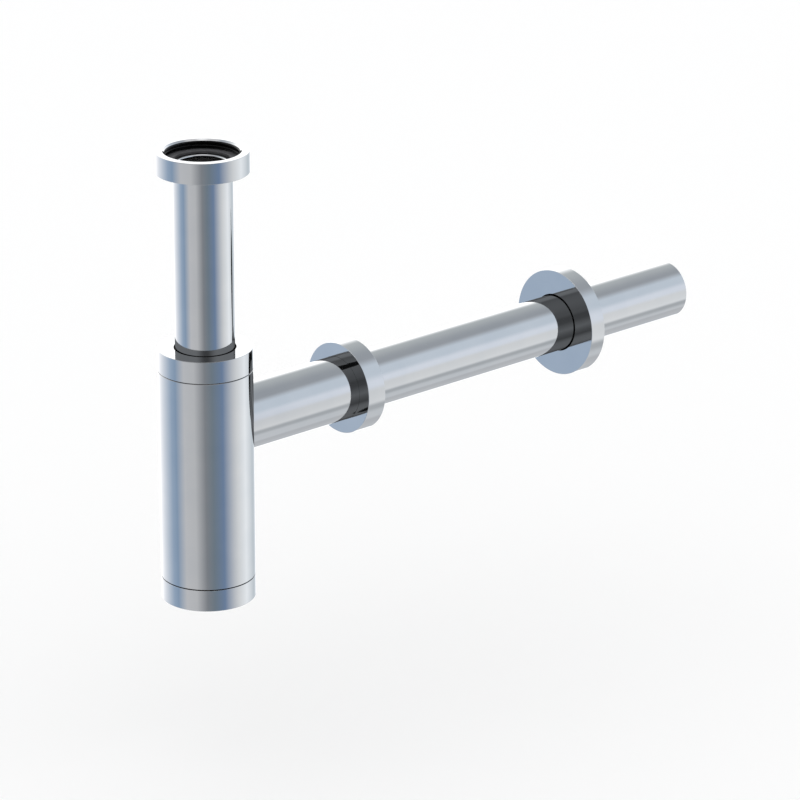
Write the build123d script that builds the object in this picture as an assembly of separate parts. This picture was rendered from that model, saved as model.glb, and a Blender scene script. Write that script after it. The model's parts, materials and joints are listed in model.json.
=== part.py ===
"""Chrome bottle trap for a wash basin, with a plain round body.

A pipe hangs from the basin waste by a round coupling nut and dips into the
bottle. A second pipe leaves the bottle sideways, through a compression joint,
and runs to the wall, where a loose round flange hides the hole.

Millimetres. The origin is the centre of the coupling nut's thread, at its first
turn, where the basin waste screws in. +Z points up along the inlet pipe and +X
points along the outlet pipe to the wall.
"""
import os

from build123d import *

# Clearances
slide_gap = 0.05
thread_gap = 0.08
braze_gap = 0.05
seat_gap = 0.10
seam_gap = 0.25

# Edges of the turned parts
edge_bevel = 0.35
pipe_edge_bevel = 0.25

# Pipes
pipe_diameter = 32.0
pipe_wall = 1.0

# Coupling nut on the basin waste
coupling_height = 11.5
coupling_thread_minor = 38.95
coupling_thread_chamfer = 1.5
coupling_chamber_depth = 1.75
coupling_wall = 3.775
coupling_lip = 2.4
coupling_lip_gap = 0.35

# Flange brazed on the inlet pipe, and the washer on it
inlet_flange_height = 2.5
inlet_flange_gap = 0.3
inlet_flange_bore = 26.0
inlet_flange_rim_radius = 0.8
inlet_flange_socket = 1.3
inlet_washer_height = 1.5
inlet_washer_bore = 31.0
inlet_washer_catch = 0.9

# Bottle
body_wall = 1.5
body_length = 142.0
collar_drop = 109.0
ring_socket = 8.0
ring_shoulder = 1.5

# Compression joint at the top of the bottle
collar_height = 12.0
collar_lip = 2.2
collar_bore_gap = 0.7
neck_guide_gap = 0.4
neck_guide_length = 4.5
neck_plug_wall = 3.95
neck_seat_gap = 1.0
neck_seat_spread = 1.6
collar_seal_height = 2.8
collar_seal_nose = 3.0
collar_seal_width = 5.7
collar_seal_side_gap = 0.88
collar_slip_height = 1.0
slip_ring_gap = 0.15

# Screwed base
base_height = 12.0
base_floor = 3.0
base_ring_wall = 2.0
base_gasket_height = 2.5
base_gasket_side_gap = 0.1
dip_clearance = 25.2

# Outlet spigot and its compression joint
outlet_drop = 46.0
spigot_reach = 100.0
spigot_wall = 1.45
spigot_bore_gap = 0.3
spigot_seat_rim = 0.45
outlet_nut_diameter = 51.0
outlet_nut_length = 12.0
outlet_nut_lip = 2.2
outlet_nut_bore_gap = 0.3
outlet_seal_length = 2.4
outlet_seal_nose = 2.4
outlet_seal_side_gap = 0.53
outlet_slip_length = 0.9

# Outlet pipe and wall flange
outlet_pipe_length = 300.0
outlet_pipe_insertion = 52.0
flange_diameter = 61.0
flange_depth = 10.0
flange_wall = 1.5
flange_bore_gap = 0.6
flange_sleeve_wall = 3.0
flange_sleeve_length = 8.0
flange_set_back = 80.5
flange_ring_section = 1.9
flange_ring_groove_play = 0.5

# Radii that several pieces share
pipe_radius = pipe_diameter / 2
coupling_thread_radius = coupling_thread_minor / 2
coupling_chamber_radius = coupling_thread_radius + coupling_chamber_depth
collar_seal_radius = pipe_radius + collar_seal_width
collar_thread_radius = collar_seal_radius + collar_seal_side_gap
ring_thread_radius = collar_thread_radius - thread_gap
body_bore_radius = ring_thread_radius + ring_shoulder
body_radius = body_bore_radius + body_wall
ring_plug_radius = body_bore_radius - braze_gap
spigot_bore_radius = pipe_radius + spigot_bore_gap
spigot_radius = spigot_bore_radius + spigot_wall
outlet_thread_radius = spigot_radius + thread_gap

# Levels on the inlet axis, from the top down
coupling_top = coupling_thread_chamfer
coupling_bottom = coupling_top - coupling_height
inlet_flange_base = coupling_bottom + coupling_lip
inlet_flange_top = inlet_flange_base + inlet_flange_height
inlet_washer_top = inlet_flange_top + inlet_washer_height
inlet_pipe_top = inlet_flange_base + inlet_flange_socket
collar_top = coupling_top - collar_drop
collar_bottom = collar_top - collar_height
collar_slip_top = collar_top - collar_lip
collar_seal_top = collar_slip_top - collar_slip_height
neck_top = collar_seal_top - collar_seal_height
shell_top = collar_bottom - seam_gap
base_bottom = collar_top - body_length
base_top = base_bottom + base_height
base_floor_top = base_bottom + base_floor
shell_bottom = base_top + seam_gap
base_ring_bottom = base_floor_top + base_gasket_height
inlet_pipe_bottom = base_floor_top + dip_clearance
outlet_level = collar_top - outlet_drop

# Distances along the outlet axis, from the bottle outwards
outlet_seal_end = spigot_reach + outlet_seal_length
outlet_slip_end = outlet_seal_end + outlet_slip_length
outlet_nut_end = outlet_slip_end + outlet_nut_lip
outlet_nut_start = outlet_nut_end - outlet_nut_length
outlet_pipe_start = spigot_reach - outlet_pipe_insertion
outlet_pipe_end = outlet_pipe_start + outlet_pipe_length
flange_back = outlet_pipe_end - flange_set_back
flange_front = flange_back - flange_depth


def turned(*outline):
    """A full turn about Z of a closed outline of (radius, height) corners."""
    corners = [(radius, 0, height) for radius, height in outline]
    return revolve(make_face(Polyline(*corners, close=True)), Axis.Z, 360)


def ring(bore, outside, low, high):
    """A plain ring or tube between two radii and two heights."""
    return turned((bore, low), (outside, low), (outside, high), (bore, high))


def bevelled_corners(radius, low, high, bevel):
    """The corners of an outside wall whose two edges are bevelled."""
    return (
        (radius - bevel, low),
        (radius, low + bevel),
        (radius, high - bevel),
        (radius - bevel, high),
    )


def along_outlet(part):
    """A part made along Z, laid on the outlet axis with its Z along +X."""
    return Pos(0, 0, outlet_level) * Rot(0, 90, 0) * part


def pipe(low, high):
    """A length of waste pipe with bevelled outside edges."""
    bore = pipe_radius - pipe_wall
    corners = bevelled_corners(pipe_radius, low, high, pipe_edge_bevel)
    return turned((bore, low), *corners, (bore, high))


def coupling_nut():
    """The round nut: thread at its mouth, washer chamber, and a lip below."""
    lip_bore = pipe_radius + coupling_lip_gap
    mouth = coupling_thread_radius + coupling_thread_chamfer
    outside = coupling_chamber_radius + coupling_wall
    return turned(
        (lip_bore, coupling_bottom),
        *bevelled_corners(outside, coupling_bottom, coupling_top, edge_bevel),
        (mouth, coupling_top),
        (coupling_thread_radius, coupling_top - coupling_thread_chamfer),
        (coupling_thread_radius, inlet_washer_top),
        (coupling_chamber_radius, inlet_washer_top),
        (coupling_chamber_radius, inlet_flange_base),
        (lip_bore, inlet_flange_base),
    )


def inlet_washer():
    """The flat rubber washer, held captive behind the nut's thread."""
    outside = coupling_thread_radius + inlet_washer_catch
    return ring(inlet_washer_bore / 2, outside, inlet_flange_top, inlet_washer_top)


def inlet_flange():
    """The ring brazed on the pipe's top, with a socket below and a round rim."""
    outside = coupling_thread_radius - inlet_flange_gap
    socket = pipe_radius + braze_gap
    bore = inlet_flange_bore / 2
    blank = turned(
        (socket, inlet_flange_base),
        (outside, inlet_flange_base),
        (outside, inlet_flange_top),
        (bore, inlet_flange_top),
        (bore, inlet_pipe_top),
        (socket, inlet_pipe_top),
    )
    top_edges = blank.edges().filter_by(GeomType.CIRCLE).group_by(Axis.Z)[-1]
    rim = top_edges.sort_by(SortBy.RADIUS)[0]
    return fillet(rim, inlet_flange_rim_radius)


def inlet_pipe():
    """The pipe that hangs from the waste and dips below the outlet."""
    return pipe(inlet_pipe_bottom, inlet_pipe_top)


def collar_nut():
    """The compression nut that carries the bottle's line up round the pipe."""
    lip_bore = pipe_radius + collar_bore_gap
    return turned(
        (collar_thread_radius, collar_bottom),
        *bevelled_corners(body_radius, collar_bottom, collar_top, edge_bevel),
        (lip_bore, collar_top),
        (lip_bore, collar_slip_top),
        (collar_thread_radius, collar_slip_top),
    )


def collar_slip_ring():
    """The thin ring that keeps the turning nut from dragging the seal."""
    bore = pipe_radius + slip_ring_gap
    return ring(bore, collar_seal_radius, collar_seal_top, collar_slip_top)


def collar_seal():
    """The rubber seal: a flat head on the neck and a tapered nose in its seat."""
    bore = pipe_radius + slide_gap
    nose_tip = pipe_radius + neck_seat_gap - seat_gap
    nose_root = nose_tip + neck_seat_spread
    return turned(
        (bore, neck_top - collar_seal_nose),
        (nose_tip, neck_top - collar_seal_nose),
        (nose_root, neck_top),
        (collar_seal_radius, neck_top),
        (collar_seal_radius, collar_seal_top),
        (bore, collar_seal_top),
    )


def neck_ring():
    """The threaded ring brazed in the bottle's top, with the seal's seat."""
    seat_tip = pipe_radius + neck_seat_gap
    guide = pipe_radius + neck_guide_gap
    relief = ring_plug_radius - neck_plug_wall
    seat_floor = neck_top - collar_seal_nose - seat_gap
    guide_bottom = seat_floor - neck_guide_length
    plug_bottom = shell_top - ring_socket
    return turned(
        (relief, plug_bottom),
        (ring_plug_radius, plug_bottom),
        (ring_plug_radius, shell_top),
        (ring_thread_radius, shell_top),
        (ring_thread_radius, neck_top),
        (seat_tip + neck_seat_spread, neck_top),
        (seat_tip, seat_floor),
        (guide, seat_floor),
        (guide, guide_bottom),
        (relief, guide_bottom),
    )


def body_shell():
    """The bottle's tube, bored at the side for the spigot."""
    corners = bevelled_corners(body_radius, shell_bottom, shell_top, edge_bevel)
    tube = turned((body_bore_radius, shell_bottom), *corners, (body_bore_radius, shell_top))
    side_bore = Cylinder(
        spigot_radius + braze_gap, spigot_reach, align=(Align.CENTER, Align.CENTER, Align.MIN)
    )
    return tube - along_outlet(side_bore)


def outlet_spigot():
    """The short side tube: saddled on the bottle's bore, with a seat at its end."""
    seat_start = spigot_reach - outlet_seal_nose - seat_gap
    tube = turned(
        (spigot_bore_radius, 0),
        (spigot_radius, 0),
        (spigot_radius, spigot_reach),
        (spigot_radius - spigot_seat_rim, spigot_reach),
        (spigot_bore_radius, seat_start),
    )
    bottle_bore = Pos(0, 0, outlet_level) * Cylinder(body_bore_radius, body_length)
    return along_outlet(tube) - bottle_bore


def base_ring():
    """The threaded ring brazed in the bottle's foot."""
    bore = ring_thread_radius - base_ring_wall
    plug_top = shell_bottom + ring_socket
    return turned(
        (bore, base_ring_bottom),
        (ring_thread_radius, base_ring_bottom),
        (ring_thread_radius, shell_bottom),
        (ring_plug_radius, shell_bottom),
        (ring_plug_radius, plug_top),
        (bore, plug_top),
    )


def base_gasket():
    """The flat rubber ring between the base ring and the cap's floor."""
    bore = ring_thread_radius - base_ring_wall + base_gasket_side_gap
    outside = ring_thread_radius - base_gasket_side_gap
    return ring(bore, outside, base_floor_top, base_ring_bottom)


def base_cap():
    """The cup that unscrews from the bottle's foot for cleaning."""
    return turned(
        (0, base_bottom),
        *bevelled_corners(body_radius, base_bottom, base_top, edge_bevel),
        (collar_thread_radius, base_top),
        (collar_thread_radius, base_floor_top),
        (0, base_floor_top),
    )


def outlet_nut():
    """The round nut that squeezes the outlet seal against the spigot's end."""
    lip_bore = pipe_radius + outlet_nut_bore_gap
    radius = outlet_nut_diameter / 2
    return along_outlet(turned(
        (outlet_thread_radius, outlet_nut_start),
        *bevelled_corners(radius, outlet_nut_start, outlet_nut_end, edge_bevel),
        (lip_bore, outlet_nut_end),
        (lip_bore, outlet_slip_end),
        (outlet_thread_radius, outlet_slip_end),
    ))


def outlet_slip_ring():
    """The thin ring between the outlet nut's lip and its seal."""
    outside = outlet_thread_radius - outlet_seal_side_gap
    bore = pipe_radius + slip_ring_gap
    return along_outlet(ring(bore, outside, outlet_seal_end, outlet_slip_end))


def outlet_seal():
    """The rubber seal: a head on the spigot's end and a nose in its seat."""
    bore = pipe_radius + slide_gap
    outside = outlet_thread_radius - outlet_seal_side_gap
    nose_root = spigot_radius - spigot_seat_rim - seat_gap
    nose_tip = spigot_bore_radius
    return along_outlet(turned(
        (bore, spigot_reach - outlet_seal_nose),
        (nose_tip - seat_gap, spigot_reach - outlet_seal_nose),
        (nose_root, spigot_reach),
        (outside, spigot_reach),
        (outside, outlet_seal_end),
        (bore, outlet_seal_end),
    ))


def outlet_pipe():
    """The long pipe that slides in the spigot and runs to the wall."""
    return along_outlet(pipe(outlet_pipe_start, outlet_pipe_end))


def flange_ring_place():
    """The middle of the rubber ring along the outlet axis, and its radius."""
    middle = flange_front + (flange_wall + flange_sleeve_length) / 2
    radius = pipe_radius + slide_gap + flange_ring_section / 2
    return middle, radius


def wall_flange():
    """The hollow flange: a face and a rim, and a sleeve grooved for its ring."""
    outside = flange_diameter / 2
    bore = pipe_radius + flange_bore_gap
    sleeve = bore + flange_sleeve_wall
    inside_face = flange_front + flange_wall
    sleeve_end = flange_front + flange_sleeve_length
    middle, ring_radius = flange_ring_place()
    groove_half = (flange_ring_section + flange_ring_groove_play) / 2
    groove_floor = ring_radius + flange_ring_section / 2 + slide_gap
    return along_outlet(turned(
        (bore, flange_front),
        *bevelled_corners(outside, flange_front, flange_back, edge_bevel),
        (outside - flange_wall, flange_back),
        (outside - flange_wall, inside_face),
        (sleeve, inside_face),
        (sleeve, sleeve_end),
        (bore, sleeve_end),
        (bore, middle + groove_half),
        (groove_floor, middle + groove_half),
        (groove_floor, middle - groove_half),
        (bore, middle - groove_half),
    ))


def flange_grip_ring():
    """The rubber ring that lets the flange stay where it is pushed."""
    middle, radius = flange_ring_place()
    return along_outlet(Pos(0, 0, middle) * Torus(radius, flange_ring_section / 2))


pieces = {
    "coupling_nut": coupling_nut,
    "inlet_washer": inlet_washer,
    "inlet_flange": inlet_flange,
    "inlet_pipe": inlet_pipe,
    "collar_nut": collar_nut,
    "collar_slip_ring": collar_slip_ring,
    "collar_seal": collar_seal,
    "neck_ring": neck_ring,
    "body_shell": body_shell,
    "outlet_spigot": outlet_spigot,
    "base_ring": base_ring,
    "base_gasket": base_gasket,
    "base_cap": base_cap,
    "outlet_nut": outlet_nut,
    "outlet_slip_ring": outlet_slip_ring,
    "outlet_seal": outlet_seal,
    "outlet_pipe": outlet_pipe,
    "wall_flange": wall_flange,
    "flange_grip_ring": flange_grip_ring,
}

os.makedirs("parts", exist_ok=True)
for name, make in pieces.items():
    export_step(make(), f"parts/{name}.step")
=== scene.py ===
"""Chrome bottle trap for a wash basin: its turned parts, their finishes and a white studio.

Lengths are millimetres until a mesh is made. Places come from the frame, and the
sizes named here are those that a node's box doesn't give: bores, walls, threads
and edges. An outline is a list of (radius, height, rounding) corners, with heights
along the inlet axis, or along the outlet axis for the parts that lie on it.
"""
import json
from math import cos, pi, radians, sin, sqrt, tan

import bmesh
import bpy
from mathutils import Matrix, Quaternion, Vector


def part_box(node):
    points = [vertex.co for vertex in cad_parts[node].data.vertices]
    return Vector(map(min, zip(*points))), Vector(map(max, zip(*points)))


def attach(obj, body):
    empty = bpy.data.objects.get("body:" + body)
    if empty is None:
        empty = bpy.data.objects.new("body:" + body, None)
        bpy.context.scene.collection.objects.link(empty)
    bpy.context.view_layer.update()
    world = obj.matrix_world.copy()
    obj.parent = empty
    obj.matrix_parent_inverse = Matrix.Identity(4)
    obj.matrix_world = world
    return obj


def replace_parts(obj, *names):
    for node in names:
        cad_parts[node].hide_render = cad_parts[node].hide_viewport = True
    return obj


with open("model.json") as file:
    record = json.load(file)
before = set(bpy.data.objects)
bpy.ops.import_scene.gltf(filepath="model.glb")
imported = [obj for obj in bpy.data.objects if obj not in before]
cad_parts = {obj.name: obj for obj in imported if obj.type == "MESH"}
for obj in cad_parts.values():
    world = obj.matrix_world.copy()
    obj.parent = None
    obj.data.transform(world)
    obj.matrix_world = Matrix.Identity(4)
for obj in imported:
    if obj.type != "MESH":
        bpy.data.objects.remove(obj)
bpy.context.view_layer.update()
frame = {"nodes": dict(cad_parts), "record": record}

mm = 0.001

# Steps of a turned part, and the distances within which its points count as one or as in place
steps_around = 192
arc_steps = 5
weld_distance = 0.002
place_tolerance = 0.001
saddle_tolerance = 0.01

# Gaps
slide_gap = 0.05
braze_gap = 0.05
thread_gap = 0.08
seat_gap = 0.10
slip_ring_gap = 0.15
slip_ring_play = 0.02
coupling_lip_gap = 0.35
collar_bore_gap = 0.7
collar_seal_side_gap = 0.88
neck_guide_gap = 0.4
neck_seat_gap = 1.0
base_gasket_side_gap = 0.1
outlet_nut_bore_gap = 0.3
flange_bore_gap = 0.6
flange_groove_play = 0.25

# Bores, walls and depths
pipe_wall = 1.0
coupling_chamber_depth = 1.75
coupling_mouth_chamfer = 1.5
# How far the mouth's chamfer stays chrome; the rest of it takes the nearly black plate painted as
# shade
polished_chamfer = 0.9
inlet_flange_bore = 13.0
inlet_flange_rim = 0.9
inlet_washer_bore = 15.5
body_wall = 1.5
neck_guide_length = 4.5
neck_plug_wall = 3.95
neck_seat_spread = 1.6
base_ring_wall = 2.0
spigot_wall = 1.45
spigot_seat_rim = 0.45
flange_wall = 1.5
flange_sleeve_wall = 3.0
flange_sleeve_length = 8.0

# Threads: a flank is a cut-off triangle wave, and a thread runs out over a part of a turn
nut_pitch = 1.5
nut_thread_depth = 0.8
outlet_thread_depth = 0.5
basin_pitch = 2.309
basin_thread_depth = 1.48
rows_a_turn = 12
flank_steepness = 1.3
flat_share = 0.15
run_out_turns = 0.4
plain_end, turned_end = 0, 1

# Roundings of edges and inside corners
polished_edge = 0.2
seam_edge = 0.1
pipe_edge = 0.25
machined_edge = 0.12
rubber_edge = 0.3
seal_nose_edge = 0.2
small_seal_edge = 0.06
nut_corner = 0.2
chamber_corner = 0.3
cap_corner = 0.4
flange_corner = 0.6
sleeve_edge = 0.3
groove_corner = 0.3
nearly_half_circle = 0.999

# Colours
bright_chrome = (0.61, 0.615, 0.62, 1)
worn_chrome = (0.585, 0.595, 0.605, 1)
# painted shade: the colour of a thin dark line drawn along a joint, for the shade in its gap
joint_painted_shade = (0.25, 0.25, 0.25, 1)
clean_brass = (0.78, 0.60, 0.30, 1)
stained_brass = (0.58, 0.41, 0.19, 1)
white_nylon = (0.80, 0.79, 0.74, 1)
yellowed_nylon = (0.72, 0.70, 0.63, 1)
floor_white = (0.93, 0.93, 0.93, 1)
backdrop_white = (1, 1, 1, 1)
rubber_blue_share = 1.06

# Finishes: half the width of a painted shade line along a joint, the grain of rubber, and the
# marks' closeness
shade_line_half_width = 0.4
shade_line_core_share = 0.7
grain_depth = 0.05
marks_round_inlet = (0.05, 0.05, 3.0)
marks_round_outlet = (3.0, 0.05, 0.05)
marks_in_brass = (0.2, 0.2, 6)

# Room: bands of colour below and above the horizon, by degrees from the camera's side
# towards its right. The colours without degrees are shares of the lamp's strength.
lamp = (1.75, 1.75, 1.75)
lamp_strength = max(lamp)
low_bands = [
    (-180, lamp), (-145, (1.42, 1.42, 1.45)), (-90, (0.45, 0.58, 0.76)),
    (-76, (0.36, 0.49, 0.67)), (-52, (0.76, 0.77, 0.80)), (-26, (0.72, 0.73, 0.75)),
    (0, (0.32, 0.34, 0.37)), (18, (0.24, 0.30, 0.36)), (43, (0.23, 0.33, 0.51)),
    (70, (0.78, 0.81, 0.86)), (82, (0.98, 1.00, 1.02)), (110, (1.25, 1.29, 1.33)),
    (148, (0.72, 0.79, 0.85)), (167, (0.80, 0.86, 0.92)), (180, lamp),
]
high_bands = [
    (-180, lamp), (-130, lamp), (-95, (1.0, 1.05, 1.1)), (-60, (0.2, 0.2, 0.21)),
    (-20, (0.1, 0.1, 0.11)), (0, (0.03, 0.03, 0.04)), (15, (0.03, 0.03, 0.04)),
    (50, (0.16, 0.16, 0.18)), (80, (1.02, 1.08, 1.19)), (125, (1.02, 1.08, 1.19)),
    (165, lamp), (180, lamp),
]
high_side = (0.80 / lamp_strength, 0.89 / lamp_strength, 1.00 / lamp_strength, 1)
far_ground, near_ground = (0.383, 0.394, 0.412, 1), (0.455, 0.474, 0.497, 1)
ground_edge = (0.343, 0.360, 0.377, 1)
far_ceiling, near_ceiling = (0.377, 0.400, 0.411, 1), (0.271, 0.291, 0.317, 1)
ceiling_tilt = 0.36
lamp_rim, lamp_middle = (0.50, 0.50, 0.51, 1), (1, 1, 1, 1)
backdrop_strength = 1.08

# The dimmer room of the second reflection, by height from -1 straight down to 1 straight up
dim_greys = [
    (-0.80, 0.154), (-0.73, 0.143), (-0.61, 0.066), (-0.45, 0.097), (-0.24, 0.149),
    (0.0, 0.103), (0.15, 0.069), (0.36, 0.058), (0.55, 0.091), (0.80, 0.126),
]
dim_side_grey = 0.18
dim_middle = 0.1
black_grey = 0.010
second_reflection, third_reflection = 2.5, 3.5

# Camera
camera_azimuth = -41.81
camera_elevation = 20.23
camera_distance = 2474.0
camera_lens = 200.3
camera_aim = (139.22, 0.30, -171.94)
camera_roll = 0.05
sensor_width = 36
clip_end = 100

# Floor
floor_drop = 90.0
floor_radius = 14000.0
floor_corners = 96


def span(node, axis):
    """The lowest and highest place of a node along an axis, in millimetres."""
    low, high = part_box(node)
    return low[axis] / mm, high[axis] / mm


def width_radius(node):
    """The outside radius of a turned node, from its box across Y."""
    return span(node, 1)[1]


pipe_radius = width_radius("inlet_pipe")
pipe_bore = pipe_radius - pipe_wall
basin_thread_minor = frame["record"]["mounts"][0]["dims"]["r_mm"]
body_bore = width_radius("body_shell") - body_wall
collar_bore = width_radius("collar_seal") + collar_seal_side_gap
ring_thread_radius = collar_bore - thread_gap
spigot_radius = width_radius("outlet_spigot")
spigot_bore = spigot_radius - spigot_wall
outlet_nut_bore = spigot_radius + thread_gap
outlet_level = sum(span("outlet_pipe", 2)) / 2

inlet_axis = Matrix.Identity(4)
outlet_axis = Matrix.Translation((0, 0, outlet_level * mm)) @ Matrix.Rotation(pi / 2, 4, "Y")


class Graph:
    """A node tree, and the one way in which this script adds nodes to it."""

    def __init__(self, tree):
        tree.nodes.clear()
        self.tree = tree

    def add(self, kind, inputs, output=0, **settings):
        """Adds a node with its settings and inputs, and returns one of its outputs."""
        node = self.tree.nodes.new(kind)
        for name, value in settings.items():
            setattr(node, name, value)
        for name, value in inputs.items():
            if isinstance(value, Term):
                self.tree.links.new(value.socket, node.inputs[name])
            else:
                node.inputs[name].default_value = value
        return Term(self, node.outputs[output] if node.outputs else None)

    def ramp(self, fraction, stops):
        """A colour ramp through (place, colour) stops."""
        colours = self.add("ShaderNodeValToRGB", {"Fac": fraction})
        elements = colours.socket.node.color_ramp.elements
        elements.remove(elements[1])
        elements[0].position = stops[0][0]
        elements[0].color = (*stops[0][1], 1)
        for place, colour in stops[1:]:
            elements.new(place).color = (*colour, 1)
        return colours


class Term:
    """An output socket of a graph that can be added, taken away and multiplied."""

    def __init__(self, graph, socket):
        self.graph = graph
        self.socket = socket

    def math(self, operation, other=0.0):
        """A sum with another value. The other value goes unused where one is enough."""
        return self.graph.add("ShaderNodeMath", {0: self, 1: other}, operation=operation)

    def __add__(self, other):
        return self.math("ADD", other)

    def __mul__(self, other):
        return self.math("MULTIPLY", other)

    __radd__ = __add__
    __rmul__ = __mul__

    def __sub__(self, other):
        return self.math("SUBTRACT", other)

    def __rsub__(self, other):
        return self.graph.add("ShaderNodeMath", {0: other, 1: self}, operation="SUBTRACT")

    def along(self, direction):
        """The length of a vector along a fixed direction."""
        inputs = {0: self, 1: direction}
        return self.graph.add("ShaderNodeVectorMath", inputs, "Value", operation="DOT_PRODUCT")

    def scaled(self, scales):
        """A vector with each part scaled by its own number."""
        return self.graph.add("ShaderNodeVectorMath", {0: self, 1: scales}, operation="MULTIPLY")

    def step(self, low, high, to_low=0.0, to_high=1.0):
        """A smooth step from one value to another between two places."""
        inputs = {
            "Value": self, "From Min": low, "From Max": high, "To Min": to_low, "To Max": to_high,
        }
        return self.graph.add("ShaderNodeMapRange", inputs, interpolation_type="SMOOTHSTEP")

    def blend(self, first, second):
        """Two colours mixed by this value."""
        inputs = {0: self, 6: first, 7: second}
        return self.graph.add("ShaderNodeMix", inputs, 2, data_type="RGBA")


def rounded(corners):
    """The points at each corner of a closed outline: an arc where it has a rounding."""
    places = [Vector(corner[:2]) for corner in corners]
    arcs = []
    for index, (*_, rounding) in enumerate(corners):
        here = places[index]
        if rounding == 0:
            arcs.append([here])
            continue
        before = (places[index - 1] - here).normalized()
        after = (places[(index + 1) % len(corners)] - here).normalized()
        half = before.angle(after) / 2
        reach = rounding / tan(half)
        centre = here + (before + after).normalized() * (rounding / sin(half))
        first = here + before * reach - centre
        last = here + after * reach - centre
        turns = [first.slerp(last, step / arc_steps) for step in range(arc_steps + 1)]
        arcs.append([centre + direction * rounding for direction in turns])
    return arcs


def spin(mesh, points, index):
    """Turns an open chain of points once about Z, with the material of one index."""
    old_faces = set(mesh.faces)
    verts = [mesh.verts.new((radius * mm, 0, height * mm)) for radius, height in points]
    edges = [mesh.edges.new(pair) for pair in zip(verts, verts[1:])]
    bmesh.ops.spin(
        mesh, geom=verts + edges, cent=(0, 0, 0), axis=(0, 0, 1),
        angle=2 * pi, steps=steps_around, use_merge=True,
    )
    for face in set(mesh.faces) - old_faces:
        face.material_index = index


def thread_rows(radius, low, high, pitch):
    """The corners of a plain wall with enough rows to cut a thread in, from low to high."""
    rows = round((high - low) / pitch * rows_a_turn)
    return [(radius, low + (high - low) * row / rows, 0) for row in range(rows + 1)]


def cut_thread(mesh, radius, rise, low, high, pitch, end_shares):
    """Cuts a right-handed thread in a wall of rows: rise is how far its flanks move the wall.

    The end shares say how much of the rise the wall has at its low and its high end, from
    plain to turned down to the thread's root.
    """
    for vert in mesh.verts:
        height = vert.co.z / mm
        distance = vert.co.xy.length / mm
        on_wall = abs(distance - radius) <= place_tolerance
        if not on_wall or not low - place_tolerance < height < high + place_tolerance:
            continue
        turn = Vector((1, 0)).angle_signed(vert.co.xy) / (2 * pi)
        phase = (height / pitch + turn) % 1
        wave = 1 - abs(2 * phase - 1)
        flank = min(1, max(0, flank_steepness * wave - flat_share))
        from_end = min(height - low, high - height)
        fade = max(0, min(1, from_end / (run_out_turns * pitch)))
        end_share = end_shares[height - low > high - height]
        share = end_share + (flank - end_share) * fade
        vert.co.xy *= (radius + rise * share) / radius


def finished(mesh, name, place, body, materials):
    """Makes the mesh a smooth object in the frame that rides on its body."""
    bmesh.ops.remove_doubles(mesh, verts=mesh.verts, dist=weld_distance * mm)
    bmesh.ops.recalc_face_normals(mesh, faces=mesh.faces)
    mesh.transform(place)
    for face in mesh.faces:
        face.smooth = True
    data = bpy.data.meshes.new(name)
    mesh.to_mesh(data)
    mesh.free()
    for look in materials:
        data.materials.append(look)
    made = bpy.data.objects.new(name, data)
    bpy.context.scene.collection.objects.link(made)
    weighted = made.modifiers.new("flat_faces_lead", "WEIGHTED_NORMAL")
    weighted.weight = 100
    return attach(made, body)


def turned(node, body, finish, outside, inside=(), place=inlet_axis, thread=None, shape=None):
    """A turned part in place of its node. The inside corners close the outside ones' outline."""
    slot, materials = finish
    mesh = bmesh.new()
    arcs = rounded([*outside, *inside])
    outer = [point for arc in arcs[:len(outside)] for point in arc]
    inner = [point for arc in arcs[len(outside):] for point in arc]
    spin(mesh, outer, 0)
    ends_on_axis = inner and inner[-1].x == 0
    spin(mesh, [outer[-1], *inner, *([] if ends_on_axis else outer[:1])], len(materials) - 1)
    if thread:
        cut_thread(mesh, *thread)
    if shape:
        shape(mesh)
    made = finished(mesh, node + "_turned", place, body, materials)
    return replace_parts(made, node)


def material(name):
    """A new material and the graph of its nodes."""
    made = bpy.data.materials.new(name)
    made.use_nodes = True
    return made, Graph(made.node_tree)


def surface(graph, **inputs):
    """The one shader of a material, with its inputs, linked to the output."""
    named = {name.replace("_", " ").title(): value for name, value in inputs.items()}
    shader = graph.add("ShaderNodeBsdfPrincipled", named)
    graph.add("ShaderNodeOutputMaterial", {"Surface": shader})


def in_millimetres(graph):
    """The place of a surface point in the frame, in millimetres."""
    return graph.add("ShaderNodeTexCoord", {}, "Object").scaled((1 / mm, 1 / mm, 1 / mm))


def noise(place, scale, detail):
    """Soft noise at a place, of a scale per millimetre."""
    inputs = {"Vector": place, "Scale": scale, "Detail": detail}
    return place.graph.add("ShaderNodeTexNoise", inputs)


def chrome(name, marks, joints=()):
    """Mirror chrome: faint polishing marks drawn out round the part, and a few duller patches.

    The joints are heights along Z at which a thin dark line is painted as shade in the gap
    between two parts.
    """
    made, graph = material(name)
    place = in_millimetres(graph)
    patches = noise(place, 0.06, 3.0)
    lines = noise(place.scaled(marks), 1.0, 4.0)
    roughness = patches.step(0.35, 0.75, 0.035, 0.07) + lines.step(0.4, 0.8, 0.0, 0.02)
    tint = patches.step(0.3, 0.7).blend(worn_chrome, bright_chrome)
    # painted shade: the chrome is darkened in a thin line at each joint height
    for joint in joints:
        distance = (place.along((0, 0, 1)) - joint).math("ABSOLUTE")
        unshaded = distance.step(shade_line_half_width * shade_line_core_share, shade_line_half_width)
        tint = unshaded.blend(joint_painted_shade, tint)
    surface(graph, base_color=tint, metallic=1.0, roughness=roughness)
    return made


def plated_bore(name, dark, light):
    """The unpolished inside of plated brass: greyer, with a fine grain, or nearly black where it
    stands for painted shade.
    """
    made, graph = material(name)
    grain = noise(in_millimetres(graph), 1.5, 5.0)
    tint = grain.step(0.3, 0.7).blend((dark, dark, dark, 1), (light, light, light, 1))
    surface(graph, base_color=tint, metallic=0.75, roughness=grain.step(0.3, 0.7, 0.25, 0.42))
    return made


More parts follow.
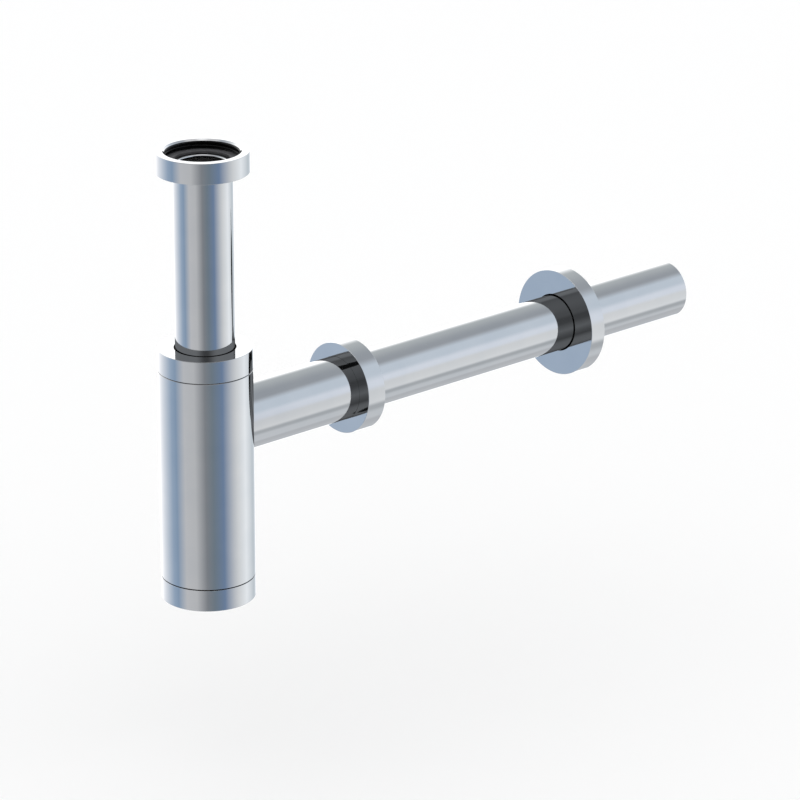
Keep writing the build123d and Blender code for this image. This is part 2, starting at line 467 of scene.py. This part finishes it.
def brass(name):
    """Turned brass, a little oxidised."""
    made, graph = material(name)
    place = in_millimetres(graph)
    marks = noise(place.scaled(marks_in_brass), 1.0, 4.0)
    stain = noise(place, 0.25, 5.0)
    tint = stain.step(0.35, 0.7).blend(clean_brass, stained_brass)
    surface(graph, base_color=tint, metallic=1.0, roughness=marks.step(0.3, 0.7, 0.18, 0.34))
    return made


def rubber(name, dark, light):
    """Matt rubber with a fine moulded grain and a paler bloom in places."""
    made, graph = material(name)
    place = in_millimetres(graph)
    grain = noise(place, 4.0, 5.0)
    bloom = noise(place, 0.3, 3.0)
    plain, bloomed = [(grey, grey, grey * rubber_blue_share, 1) for grey in (dark, light)]
    tint = bloom.step(0.35, 0.75).blend(plain, bloomed)
    relief = {"Height": grain, "Strength": 0.25, "Distance": grain_depth * mm}
    bump = graph.add("ShaderNodeBump", relief)
    surface(graph, base_color=tint, roughness=grain.step(0.3, 0.7, 0.5, 0.68), normal=bump)
    return made


def nylon(name):
    """Natural nylon, slightly yellow, with a soft gloss."""
    made, graph = material(name)
    cloud = noise(in_millimetres(graph), 0.4, 4.0)
    tint = cloud.step(0.3, 0.7).blend(white_nylon, yellowed_nylon)
    surface(graph, base_color=tint, roughness=cloud.step(0.3, 0.7, 0.34, 0.46))
    return made


inlet_chrome = chrome("polished_chrome_upright", marks_round_inlet)
outlet_chrome = chrome("polished_chrome_outlet", marks_round_outlet)
dull_plate = plated_bore("dull_plate_inside", 0.20, 0.30)
# painted shade: the plate in the coupling nut's mouth and the flange's bore is made nearly black,
# for the shade and dark reflections deep in the mouth
plate_painted_dark = plated_bore("dark_plate_in_thread", 0.005, 0.02)
on_inlet = ("polished_chrome", [inlet_chrome, dull_plate])
in_mouth = ("polished_chrome", [inlet_chrome, plate_painted_dark])
on_outlet = ("polished_chrome", [outlet_chrome, dull_plate])
in_brass = ("turned_brass", [brass("turned_brass")])
in_rubber = ("black_rubber", [rubber("black_rubber", 0.022, 0.045)])
# painted light: a paler copy of the black rubber, for the light the washer catches inside the
# nut's mouth
in_rubber_painted_lighter = ("black_rubber", [rubber("greyed_rubber", 0.065, 0.10)])
in_nylon = ("white_nylon", [nylon("white_nylon")])


def coupling_nut():
    low, high = span("coupling_nut", 2)
    outside = width_radius("coupling_nut")
    lip_bore = pipe_radius + coupling_lip_gap
    chamber = basin_thread_minor + coupling_chamber_depth
    lip_top = span("inlet_flange", 2)[0]
    chamber_top = span("inlet_washer", 2)[1]
    first_turn = high - coupling_mouth_chamfer
    mouth = basin_thread_minor + coupling_mouth_chamfer
    turned(
        "coupling_nut", "coupling_nut", in_mouth,
        [
            (lip_bore, low, machined_edge),
            (outside, low, polished_edge),
            (outside, high, polished_edge),
            (mouth, high, machined_edge),
            # painted shade: below this corner the chamfer and the thread take the nearly black
            # plate
            (mouth - polished_chamfer, high - polished_chamfer, 0),
        ],
        [
            *reversed(thread_rows(basin_thread_minor, chamber_top, first_turn, basin_pitch)),
            (chamber, chamber_top, 0),
            (chamber, lip_top, chamber_corner),
            (lip_bore, lip_top, machined_edge),
        ],
        thread=(
            basin_thread_minor, basin_thread_depth,
            chamber_top, first_turn, basin_pitch, (plain_end, plain_end),
        ),
    )


def inlet_washer():
    low, high = span("inlet_washer", 2)
    outside = width_radius("inlet_washer")
    turned(
        # painted light: the washer takes the black rubber made paler, for the light it catches in
        # the mouth
        "inlet_washer", "inlet_pipe", in_rubber_painted_lighter,
        [
            (inlet_washer_bore, low, rubber_edge),
            (outside, low, rubber_edge),
            (outside, high, rubber_edge),
            (inlet_washer_bore, high, rubber_edge),
        ],
    )


def inlet_flange():
    low, high = span("inlet_flange", 2)
    outside = width_radius("inlet_flange")
    socket = pipe_radius + braze_gap
    pipe_top = span("inlet_pipe", 2)[1]
    turned(
        # painted shade: the flange's bore takes the nearly black plate of the mouth
        "inlet_flange", "inlet_pipe", in_mouth,
        [
            (socket, low, machined_edge),
            (outside, low, machined_edge),
            (outside, high, machined_edge),
            (inlet_flange_bore, high, inlet_flange_rim),
        ],
        [
            (inlet_flange_bore, pipe_top, machined_edge),
            (socket, pipe_top, machined_edge),
        ],
    )


def pipe(node, body, finish, axis, place):
    """A length of waste pipe, polished outside and dull inside."""
    low, high = span(node, axis)
    turned(
        node, body, finish,
        [
            (pipe_bore, low, machined_edge),
            (pipe_radius, low, pipe_edge),
            (pipe_radius, high, pipe_edge),
            (pipe_bore, high, machined_edge),
        ],
        place=place,
    )


def collar_nut():
    low, high = span("collar_nut", 2)
    outside = width_radius("collar_nut")
    lip_bore = pipe_radius + collar_bore_gap
    lip_base = span("collar_slip_ring", 2)[1] + slip_ring_play
    thread_top = span("neck_ring", 2)[1]
    turned(
        "collar_nut", "collar_nut", on_inlet,
        [
            (lip_bore, high, machined_edge),
            (outside, high, polished_edge),
            (outside, low, seam_edge),
            (collar_bore, low, 0),
        ],
        [
            *thread_rows(collar_bore, low, thread_top, nut_pitch)[1:],
            (collar_bore, lip_base, nut_corner),
            (lip_bore, lip_base, machined_edge),
        ],
        thread=(
            collar_bore, -nut_thread_depth, low, thread_top, nut_pitch, (plain_end, plain_end),
        ),
    )


def slip_ring(node, axis, place):
    """A thin nylon ring between a seal and its nut."""
    low, high = span(node, axis)
    bore = pipe_radius + slip_ring_gap
    outside = width_radius(node)
    corners = [
        (bore, low, machined_edge),
        (outside, low, machined_edge),
        (outside, high, machined_edge),
        (bore, high, machined_edge),
    ]
    turned(node, node, in_nylon, corners, place=place)


def collar_seal():
    low, high = span("collar_seal", 2)
    head_base = span("neck_ring", 2)[1]
    bore = pipe_radius + slide_gap
    outside = width_radius("collar_seal")
    nose_tip = pipe_radius + neck_seat_gap - seat_gap
    turned(
        "collar_seal", "collar_seal", in_rubber,
        [
            (bore, low, seal_nose_edge),
            (nose_tip, low, seal_nose_edge),
            (nose_tip + neck_seat_spread, head_base, 0),
            (outside, head_base, rubber_edge),
            (outside, high, rubber_edge),
            (bore, high, rubber_edge),
        ],
    )


def neck_ring():
    low, high = span("neck_ring", 2)
    shoulder = span("body_shell", 2)[1]
    plug = width_radius("neck_ring")
    relief = plug - neck_plug_wall
    seat_floor = span("collar_seal", 2)[0] - seat_gap
    seat_tip = pipe_radius + neck_seat_gap
    guide = pipe_radius + neck_guide_gap
    turned(
        "neck_ring", "bottle", in_brass,
        [
            (relief, low, machined_edge),
            (plug, low, machined_edge),
            (plug, shoulder, machined_edge),
            *thread_rows(ring_thread_radius, shoulder, high, nut_pitch),
            (seat_tip + neck_seat_spread, high, machined_edge),
            (seat_tip, seat_floor, machined_edge),
            (guide, seat_floor, machined_edge),
            (guide, seat_floor - neck_guide_length, machined_edge),
            (relief, seat_floor - neck_guide_length, machined_edge),
        ],
        thread=(
            ring_thread_radius, -nut_thread_depth,
            shoulder, high, nut_pitch, (turned_end, turned_end),
        ),
    )


def saddle(mesh):
    """Moves the spigot's inner end onto the bottle's bore."""
    for vert in mesh.verts:
        if abs(vert.co.z) < saddle_tolerance * mm:
            vert.co.z = sqrt((body_bore * mm) ** 2 - vert.co.y ** 2)


def outlet_spigot():
    reach = span("outlet_spigot", 0)[1]
    seal_nose = span("outlet_seal", 0)[0]
    thread_start = span("outlet_nut", 0)[0]
    turned(
        "outlet_spigot", "bottle", on_outlet,
        [
            (spigot_radius, 0, 0),
            *thread_rows(spigot_radius, thread_start, reach, nut_pitch),
            (spigot_radius - spigot_seat_rim, reach, 0),
        ],
        [
            (spigot_bore, seal_nose - seat_gap, 0),
            (spigot_bore, 0, 0),
        ],
        place=outlet_axis,
        thread=(
            spigot_radius, -outlet_thread_depth,
            thread_start, reach, nut_pitch, (plain_end, turned_end),
        ),
        shape=saddle,
    )


def base_ring():
    low, high = span("base_ring", 2)
    shoulder = span("body_shell", 2)[0]
    plug = width_radius("base_ring")
    bore = ring_thread_radius - base_ring_wall
    turned(
        "base_ring", "bottle", in_brass,
        [
            (bore, low, machined_edge),
            *thread_rows(ring_thread_radius, low, shoulder, nut_pitch),
            (plug, shoulder, machined_edge),
            (plug, high, machined_edge),
            (bore, high, machined_edge),
        ],
        thread=(
            ring_thread_radius, -nut_thread_depth,
            low, shoulder, nut_pitch, (turned_end, turned_end),
        ),
    )


def base_gasket():
    low, high = span("base_gasket", 2)
    outside = width_radius("base_gasket")
    bore = ring_thread_radius - base_ring_wall + base_gasket_side_gap
    corners = [
        (bore, low, rubber_edge),
        (outside, low, rubber_edge),
        (outside, high, rubber_edge),
        (bore, high, rubber_edge),
    ]
    turned("base_gasket", "base_gasket", in_rubber, corners)


def base_cap():
    low, high = span("base_cap", 2)
    outside = width_radius("base_cap")
    floor_top = span("base_gasket", 2)[0]
    thread_base = span("base_gasket", 2)[1]
    turned(
        "base_cap", "base_cap", on_inlet,
        [
            (0, low, 0),
            (outside, low, polished_edge),
            (outside, high, seam_edge),
            (collar_bore, high, 0),
        ],
        [
            *reversed(thread_rows(collar_bore, thread_base, high, nut_pitch)[:-1]),
            (collar_bore, floor_top, cap_corner),
            (0, floor_top, 0),
        ],
        thread=(
            collar_bore, -nut_thread_depth, thread_base, high, nut_pitch, (plain_end, plain_end),
        ),
    )


def outlet_nut():
    low, high = span("outlet_nut", 0)
    outside = width_radius("outlet_nut")
    lip_bore = pipe_radius + outlet_nut_bore_gap
    lip_base = span("outlet_slip_ring", 0)[1] + slip_ring_play
    thread_end = span("outlet_spigot", 0)[1]
    turned(
        "outlet_nut", "outlet_nut", on_outlet,
        [
            (lip_bore, high, machined_edge),
            (outside, high, polished_edge),
            (outside, low, polished_edge),
            (outlet_nut_bore, low, 0),
        ],
        [
            *thread_rows(outlet_nut_bore, low, thread_end, nut_pitch)[1:],
            (outlet_nut_bore, lip_base, nut_corner),
            (lip_bore, lip_base, machined_edge),
        ],
        place=outlet_axis,
        thread=(
            outlet_nut_bore, -outlet_thread_depth,
            low, thread_end, nut_pitch, (plain_end, plain_end),
        ),
    )


def outlet_seal():
    low, high = span("outlet_seal", 0)
    head_base = span("outlet_spigot", 0)[1]
    bore = pipe_radius + slide_gap
    outside = width_radius("outlet_seal")
    turned(
        "outlet_seal", "bottle", in_rubber,
        [
            (bore, low, small_seal_edge),
            (spigot_bore - seat_gap, low, small_seal_edge),
            (spigot_radius - spigot_seat_rim - seat_gap, head_base, 0),
            (outside, head_base, small_seal_edge),
            (outside, high, rubber_edge),
            (bore, high, rubber_edge),
        ],
        place=outlet_axis,
    )


def wall_flange():
    front, back = span("wall_flange", 0)
    outside = width_radius("wall_flange")
    bore = pipe_radius + flange_bore_gap
    sleeve = bore + flange_sleeve_wall
    inside_face = front + flange_wall
    sleeve_end = front + flange_sleeve_length
    ring_low, ring_high = span("flange_grip_ring", 0)
    groove_floor = width_radius("flange_grip_ring") + slide_gap
    turned(
        "wall_flange", "wall_flange", on_outlet,
        [
            (bore, front, machined_edge),
            (outside, front, polished_edge),
            (outside, back, polished_edge),
            (outside - flange_wall, back, machined_edge),
        ],
        [
            (outside - flange_wall, inside_face, flange_corner),
            (sleeve, inside_face, flange_corner),
            (sleeve, sleeve_end, sleeve_edge),
            (bore, sleeve_end, sleeve_edge),
            (bore, ring_high + flange_groove_play, machined_edge),
            (groove_floor, ring_high + flange_groove_play, groove_corner),
            (groove_floor, ring_low - flange_groove_play, groove_corner),
            (bore, ring_low - flange_groove_play, machined_edge),
        ],
        place=outlet_axis,
    )


def flange_grip_ring():
    low, high = span("flange_grip_ring", 0)
    outside = width_radius("flange_grip_ring")
    section = (high - low) / 2
    half = section * nearly_half_circle
    corners = [
        (outside - 2 * section, low, half),
        (outside, low, half),
        (outside, high, half),
        (outside - 2 * section, high, half),
    ]
    turned("flange_grip_ring", "wall_flange", in_rubber, corners, place=outlet_axis)


def body_shell():
    """The bottle's tube stays as the frame has it, with its side bore, and gets its chrome."""
    joint = span("body_shell", 2)[1]
    data = frame["nodes"]["body_shell"].data
    data.materials.clear()
    # painted shade: a thin dark line at the tube's top, where it meets the collar nut
    data.materials.append(chrome("polished_chrome_bottle", marks_round_inlet, [joint]))


def studio():
    """A white room whose reflections are the soft bands that the chrome shows.

    Its colour goes by the direction of a ray and by how often the ray has met the parts:
    what chrome shows of other chrome comes from a dimmer room, and what it shows of that
    again is almost black, as in the photograph. The heights are sines of elevations.
    """
    world = bpy.data.worlds.new("white_studio")
    world.use_nodes = True
    bpy.context.scene.world = world
    world.cycles.sampling_method = "NONE"
    graph = Graph(world.node_tree)
    direction = graph.add("ShaderNodeTexCoord", {}, "Generated")
    turn = radians(camera_azimuth)
    towards = direction.along((sin(turn), -cos(turn), 0))
    rightwards = direction.along((cos(turn), sin(turn), 0))
    height = direction.along((0, 0, 1))
    azimuth = rightwards.math("ARCTAN2", towards) * (0.5 / pi) + 0.5

    def bands(stops):
        """Colours round the room from stops of (degrees, colour)."""
        return graph.ramp(azimuth, [
            ((degrees + 180) / 360, [part / lamp_strength for part in colour])
            for degrees, colour in stops
        ])

    def grey(value):
        """A grey with a breath of blue."""
        return (value * 0.96, value, value * 1.05)

    room = towards.step(-0.42, -0.30).blend(far_ground, near_ground)
    ceiling = towards.step(-0.90, -0.35).blend(far_ceiling, near_ceiling)
    overhead = height.step(0.94, 0.975).blend(lamp_rim, lamp_middle)
    for share, colour in (
        (height.step(-0.72, -0.62), ground_edge),
        (height.step(-0.58, -0.45), bands(low_bands)),
        (height.step(-0.12, 0.10), bands(high_bands)),
        (height.step(0.18, 0.44) * rightwards.step(0.55, 0.75), high_side),
        ((height - towards * ceiling_tilt).step(0.65, 0.87), ceiling),
        (height.step(0.82, 0.90), overhead),
    ):
        room = share.blend(room, colour)

    dim_stops = [((level + 1) / 2, grey(value)) for level, value in dim_greys]
    dim_front = graph.ramp(height * 0.5 + 0.5, dim_stops)
    off_middle = (rightwards - dim_middle).math("ABSOLUTE").step(0.05, 0.68)
    at_side = off_middle * height.step(0.60, 0.45) * height.step(0.05, 0.25)
    dim_room = at_side.blend(dim_front, (*grey(dim_side_grey), 1))

    depth = graph.add("ShaderNodeLightPath", {}, "Ray Depth")
    once = depth.math("GREATER_THAN", second_reflection).blend(room, dim_room)
    shown = depth.math("GREATER_THAN", third_reflection).blend(once, (*grey(black_grey), 1))
    reflected = graph.add("ShaderNodeBackground", {"Color": shown, "Strength": lamp_strength})
    seen = graph.add(
        "ShaderNodeBackground", {"Color": backdrop_white, "Strength": backdrop_strength},
    )
    is_glossy = graph.add("ShaderNodeLightPath", {}, "Is Glossy Ray")
    both = graph.add("ShaderNodeMixShader", {0: is_glossy, 1: seen, 2: reflected})
    graph.add("ShaderNodeOutputWorld", {"Surface": both})


def floor():
    """A plain pale floor below the trap, which is left out of the chrome's reflections."""
    made, graph = material("pale_floor")
    surface(graph, base_color=floor_white, roughness=0.9)
    mesh = bmesh.new()
    radius = floor_radius * mm
    bmesh.ops.create_circle(mesh, cap_ends=True, segments=floor_corners, radius=radius)
    level = span("base_cap", 2)[0] - floor_drop
    mesh.transform(Matrix.Translation((0, 0, level * mm)))
    data = bpy.data.meshes.new("floor")
    mesh.to_mesh(data)
    mesh.free()
    data.materials.append(made)
    plane = bpy.data.objects.new("floor", data)
    bpy.context.scene.collection.objects.link(plane)
    plane.visible_glossy = False


def camera():
    """The camera of the photograph, far off with a long lens."""
    turn, rise = radians(camera_azimuth), radians(camera_elevation)
    back = Vector((sin(turn) * cos(rise), -cos(turn) * cos(rise), sin(rise)))
    data = bpy.data.cameras.new("camera")
    data.lens = camera_lens
    data.sensor_width = sensor_width
    data.clip_end = clip_end
    made = bpy.data.objects.new("camera", data)
    made.location = (Vector(camera_aim) + back * camera_distance) * mm
    level = (-back).to_track_quat("-Z", "Y")
    made.rotation_euler = (level @ Quaternion((0, 0, 1), radians(camera_roll))).to_euler()
    bpy.context.scene.collection.objects.link(made)
    bpy.context.scene.camera = made
    bpy.context.scene.view_settings.view_transform = "Standard"


coupling_nut()
inlet_washer()
inlet_flange()
pipe("inlet_pipe", "inlet_pipe", on_inlet, 2, inlet_axis)
collar_nut()
slip_ring("collar_slip_ring", 2, inlet_axis)
collar_seal()
neck_ring()
body_shell()
outlet_spigot()
base_ring()
base_gasket()
base_cap()
outlet_nut()
slip_ring("outlet_slip_ring", 0, outlet_axis)
outlet_seal()
pipe("outlet_pipe", "outlet_pipe", on_outlet, 0, outlet_axis)
wall_flange()
flange_grip_ring()
studio()
floor()
camera()
